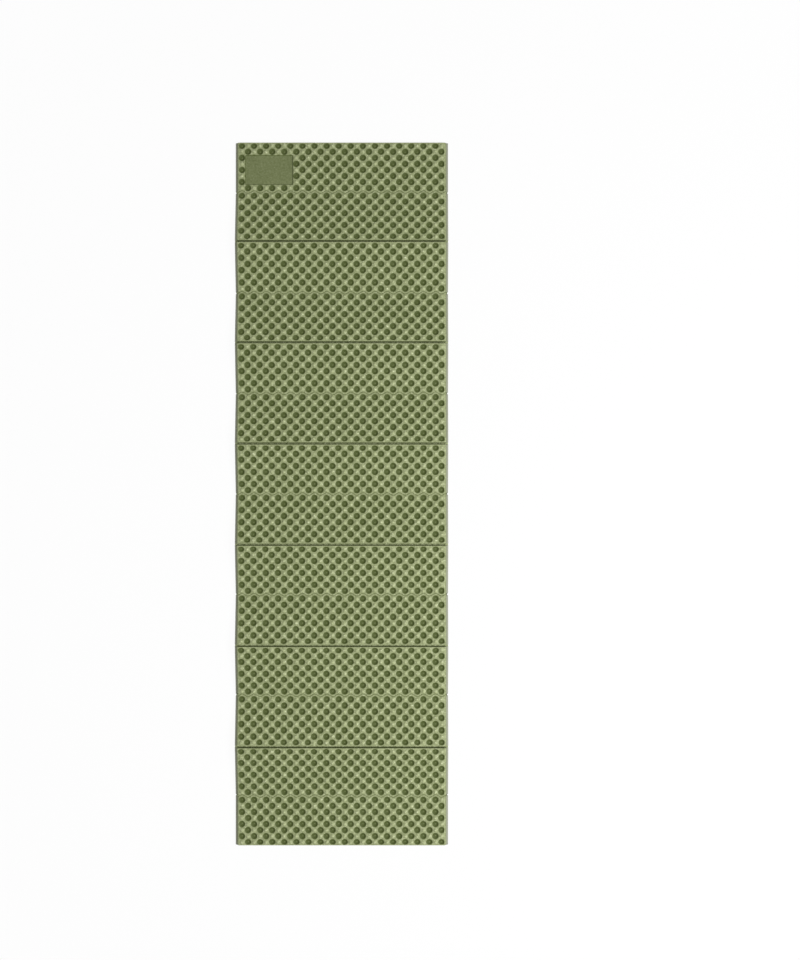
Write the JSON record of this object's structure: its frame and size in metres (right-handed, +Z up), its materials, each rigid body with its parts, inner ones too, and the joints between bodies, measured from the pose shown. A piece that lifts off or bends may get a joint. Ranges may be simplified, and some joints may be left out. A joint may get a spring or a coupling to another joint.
{
  "type": "folding foam sleeping pad",
  "caption": "Long egg-crate foam sleeping pad with a silver facing below, lying unfolded; pressed creases fold its panels into a flat stack, green against green and silver against silver.",
  "frame": {"origin": "on the ground under the middle of the unfolded pad", "axes": "+X across the pad to the right, +Y along it towards the head end, +Z up from the ground"},
  "size_m": [0.56, 1.8524, 0.0308],
  "materials": {
    "foam": "matt closed-cell foam, olive green, with a fine grain",
    "facing": "satin aluminised film over the formed underside"
  },
  "bodies": {
    "panel_01": {"foam_01": "foam", "facing_01": "facing"},
    "panel_02": {"foam_02": "foam", "facing_02": "facing"},
    "panel_03": {"foam_03": "foam", "facing_03": "facing"},
    "panel_04": {"foam_04": "foam", "facing_04": "facing"},
    "panel_05": {"foam_05": "foam", "facing_05": "facing"},
    "panel_06": {"foam_06": "foam", "facing_06": "facing"},
    "panel_07": {"foam_07": "foam", "facing_07": "facing"},
    "panel_08": {"foam_08": "foam", "facing_08": "facing"},
    "panel_09": {"foam_09": "foam", "facing_09": "facing"},
    "panel_10": {"foam_10": "foam", "facing_10": "facing"},
    "panel_11": {"foam_11": "foam", "facing_11": "facing"},
    "panel_12": {"foam_12": "foam", "facing_12": "facing"},
    "panel_13": {"foam_13": "foam", "facing_13": "facing"},
    "panel_14": {"foam_14": "foam", "facing_14": "facing"}
  },
  "joints": [
    {"name": "crease_01", "type": "hinge", "parent": "panel_02", "child": "panel_01", "pos_m": [0, 0.79418, 0.0141], "axis": [1, 0, 0], "range_deg": [-6, 174]},
    {"name": "crease_02", "type": "hinge", "parent": "panel_03", "child": "panel_02", "pos_m": [0, 0.66182, 0.01756], "axis": [-1, 0, 0], "range_deg": [-12, 168]},
    {"name": "crease_03", "type": "hinge", "parent": "panel_04", "child": "panel_03", "pos_m": [0, 0.52946, 0.0141], "axis": [1, 0, 0], "range_deg": [-12, 168]},
    {"name": "crease_04", "type": "hinge", "parent": "panel_05", "child": "panel_04", "pos_m": [0, 0.39709, 0.01756], "axis": [-1, 0, 0], "range_deg": [-12, 168]},
    {"name": "crease_05", "type": "hinge", "parent": "panel_06", "child": "panel_05", "pos_m": [0, 0.26473, 0.0141], "axis": [1, 0, 0], "range_deg": [-12, 168]},
    {"name": "crease_06", "type": "hinge", "parent": "panel_07", "child": "panel_06", "pos_m": [0, 0.13236, 0.01756], "axis": [-1, 0, 0], "range_deg": [-12, 168]},
    {"name": "crease_07", "type": "hinge", "parent": "panel_08", "child": "panel_07", "pos_m": [0, 0, 0.0141], "axis": [1, 0, 0], "range_deg": [-12, 168]},
    {"name": "crease_08", "type": "hinge", "parent": "panel_08", "child": "panel_09", "pos_m": [0, -0.13236, 0.01756], "axis": [1, 0, 0], "range_deg": [-12, 168]},
    {"name": "crease_09", "type": "hinge", "parent": "panel_09", "child": "panel_10", "pos_m": [0, -0.26473, 0.0141], "axis": [-1, 0, 0], "range_deg": [-12, 168]},
    {"name": "crease_10", "type": "hinge", "parent": "panel_10", "child": "panel_11", "pos_m": [0, -0.39709, 0.01756], "axis": [1, 0, 0], "range_deg": [-12, 168]},
    {"name": "crease_11", "type": "hinge", "parent": "panel_11", "child": "panel_12", "pos_m": [0, -0.52946, 0.0141], "axis": [-1, 0, 0], "range_deg": [-12, 168]},
    {"name": "crease_12", "type": "hinge", "parent": "panel_12", "child": "panel_13", "pos_m": [0, -0.66182, 0.01756], "axis": [1, 0, 0], "range_deg": [-12, 168]},
    {"name": "crease_13", "type": "hinge", "parent": "panel_13", "child": "panel_14", "pos_m": [0, -0.79418, 0.0141], "axis": [-1, 0, 0], "range_deg": [-6, 174]}
  ]
}
